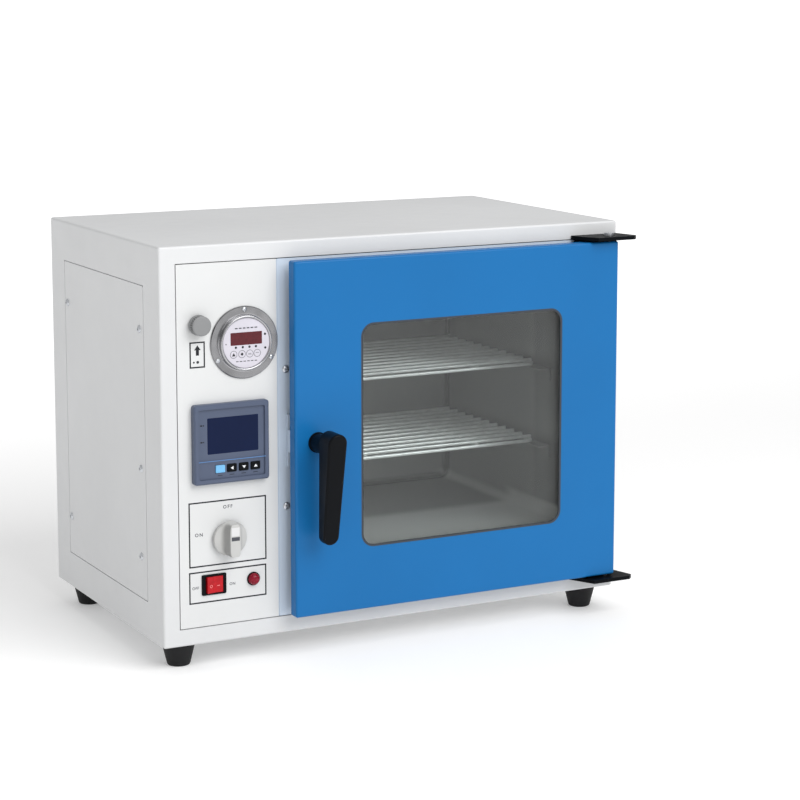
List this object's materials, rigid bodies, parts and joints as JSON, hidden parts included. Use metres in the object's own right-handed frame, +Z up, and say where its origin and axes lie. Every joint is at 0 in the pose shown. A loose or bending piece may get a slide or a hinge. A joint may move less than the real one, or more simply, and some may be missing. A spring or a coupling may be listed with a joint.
{
  "type": "vacuum oven",
  "caption": "Bench vacuum oven: grey steel cabinet, hinged blue glass door with turning handle, heated chamber with wire shelves, gauge, controller and valves.",
  "frame": {"origin": "on the floor under the middle of the overall box", "axes": "+X to the oven's right seen from the front, +Y to its back, +Z up"},
  "size_m": [0.5592, 0.4306, 0.446],
  "materials": {
    "casing_paint": "satin powder coat, pale grey-white",
    "front_paint": "satin powder coat, pale bluish grey",
    "door_paint": "satin powder coat, blue",
    "frame_metal": "satin",
    "black_steel": "satin black",
    "zinc_steel": "bright zinc plate",
    "brass": "turned",
    "chrome": "polished",
    "stainless": "brushed",
    "rubber": "matt black",
    "silicone": "matt red-brown silicone",
    "glass": "clear, faintly grey",
    "black_plastic": "satin black",
    "grey_plastic": "satin grey",
    "slate_plastic": "satin slate blue",
    "key_blue": "light blue",
    "screen": "navy, glossy",
    "dial": "white membrane",
    "led_window": "dark red",
    "gauge_shell": "dark grey",
    "red_rocker": "red",
    "lamp_red": "deep red, translucent",
    "valve_metal": "nickel over brass",
    "pipe": "drawn tube",
    "wool": "mineral wool",
    "heater": "silicone heating mat"
  },
  "bodies": {
    "cabinet": {"outer_casing": "casing_paint", "access_panel": "casing_paint", "rear_panel": "casing_paint", "base_pan": "casing_paint", "front_plate": "front_paint", "control_panel": "front_paint", "hinge_brackets": "black_steel", "access_panel_screws": "zinc_steel", "rear_panel_screws": "zinc_steel", "foot_screws": "zinc_steel", "front_plate_screws": "zinc_steel", "bracket_screws": "zinc_steel", "gauge_screws": "zinc_steel", "hinge_pins": "zinc_steel", "latch_strike": "zinc_steel", "gauge_bezel": "chrome", "chamber_liner": "stainless", "chamber_mouth": "stainless", "shelf_rails": "stainless", "temperature_probe": "stainless", "chamber_legs": "stainless", "rubber_feet": "rubber", "door_gasket": "silicone", "switch_body": "black_plastic", "controller_body": "black_plastic", "power_inlet": "black_plastic", "solid_state_relay": "black_plastic", "lamp_holder": "black_plastic", "controller_bezel": "slate_plastic", "controller_screen": "screen", "gauge_face": "dial", "gauge_window": "led_window", "gauge_body": "gauge_shell", "lamp_lens": "lamp_red", "air_valve_body": "valve_metal", "vacuum_valve_body": "valve_metal", "vacuum_port": "valve_metal", "vacuum_pipes": "pipe", "insulation_blanket": "wool", "heating_pads": "heater"},
    "door": {"door_panel": "door_paint", "door_frame": "frame_metal", "outer_window_pane": "glass", "inner_window_pane": "glass", "window_seal": "rubber", "hinge_blocks": "brass", "handle_bush": "brass"},
    "handle": {"door_handle": "black_plastic", "handle_spindle": "zinc_steel", "latch_cam": "zinc_steel", "spindle_nut": "zinc_steel"},
    "valve_knob": {"vacuum_valve_knob": "grey_plastic"},
    "release_knob": {"air_valve_knob": "grey_plastic"},
    "rocker": {"power_rocker": "red_rocker"},
    "key_set": {"set_key": "key_blue"},
    "key_shift": {"shift_key": "black_plastic"},
    "key_down": {"down_key": "black_plastic"},
    "key_up": {"up_key": "black_plastic"},
    "shelf_lower": {"wire_shelf_lower": "chrome"},
    "shelf_upper": {"wire_shelf_upper": "chrome"}
  },
  "joints": [
    {"name": "door_hinge", "type": "hinge", "parent": "cabinet", "child": "door", "pos_m": [0.2516, -0.156, 0.236], "axis": [0, 0, 1], "range_deg": [0, 120]},
    {"name": "handle_turn", "type": "hinge", "parent": "door", "child": "handle", "pos_m": [-0.1114, -0.1655, 0.234], "axis": [0, -1, 0], "range_deg": [0, 90]},
    {"name": "vacuum_valve_turn", "type": "hinge", "parent": "cabinet", "child": "valve_knob", "pos_m": [-0.2034, -0.1395, 0.137], "axis": [0, -1, 0], "range_deg": [0, 90]},
    {"name": "air_release_turn", "type": "hinge", "parent": "cabinet", "child": "release_knob", "pos_m": [-0.2354, -0.1395, 0.364], "axis": [0, -1, 0], "range_deg": [0, 540]},
    {"name": "power_rocker_tilt", "type": "hinge", "parent": "cabinet", "child": "rocker", "pos_m": [-0.2206, -0.1395, 0.089], "axis": [0, 0, 1], "range_deg": [0, 14]},
    {"name": "set_key_press", "type": "slide", "parent": "cabinet", "child": "key_set", "axis": [0, 1, 0], "range_m": [0, 0.0008], "stiffness_N_per_m": 600},
    {"name": "shift_key_press", "type": "slide", "parent": "cabinet", "child": "key_shift", "axis": [0, 1, 0], "range_m": [0, 0.0008], "stiffness_N_per_m": 600},
    {"name": "down_key_press", "type": "slide", "parent": "cabinet", "child": "key_down", "axis": [0, 1, 0], "range_m": [0, 0.0008], "stiffness_N_per_m": 600},
    {"name": "up_key_press", "type": "slide", "parent": "cabinet", "child": "key_up", "axis": [0, 1, 0], "range_m": [0, 0.0008], "stiffness_N_per_m": 600},
    {"name": "lower_shelf_slide", "type": "slide", "parent": "cabinet", "child": "shelf_lower", "axis": [0, -1, 0], "range_m": [0, 0.055]},
    {"name": "upper_shelf_slide", "type": "slide", "parent": "cabinet", "child": "shelf_upper", "axis": [0, -1, 0], "range_m": [0, 0.055]}
  ]
}
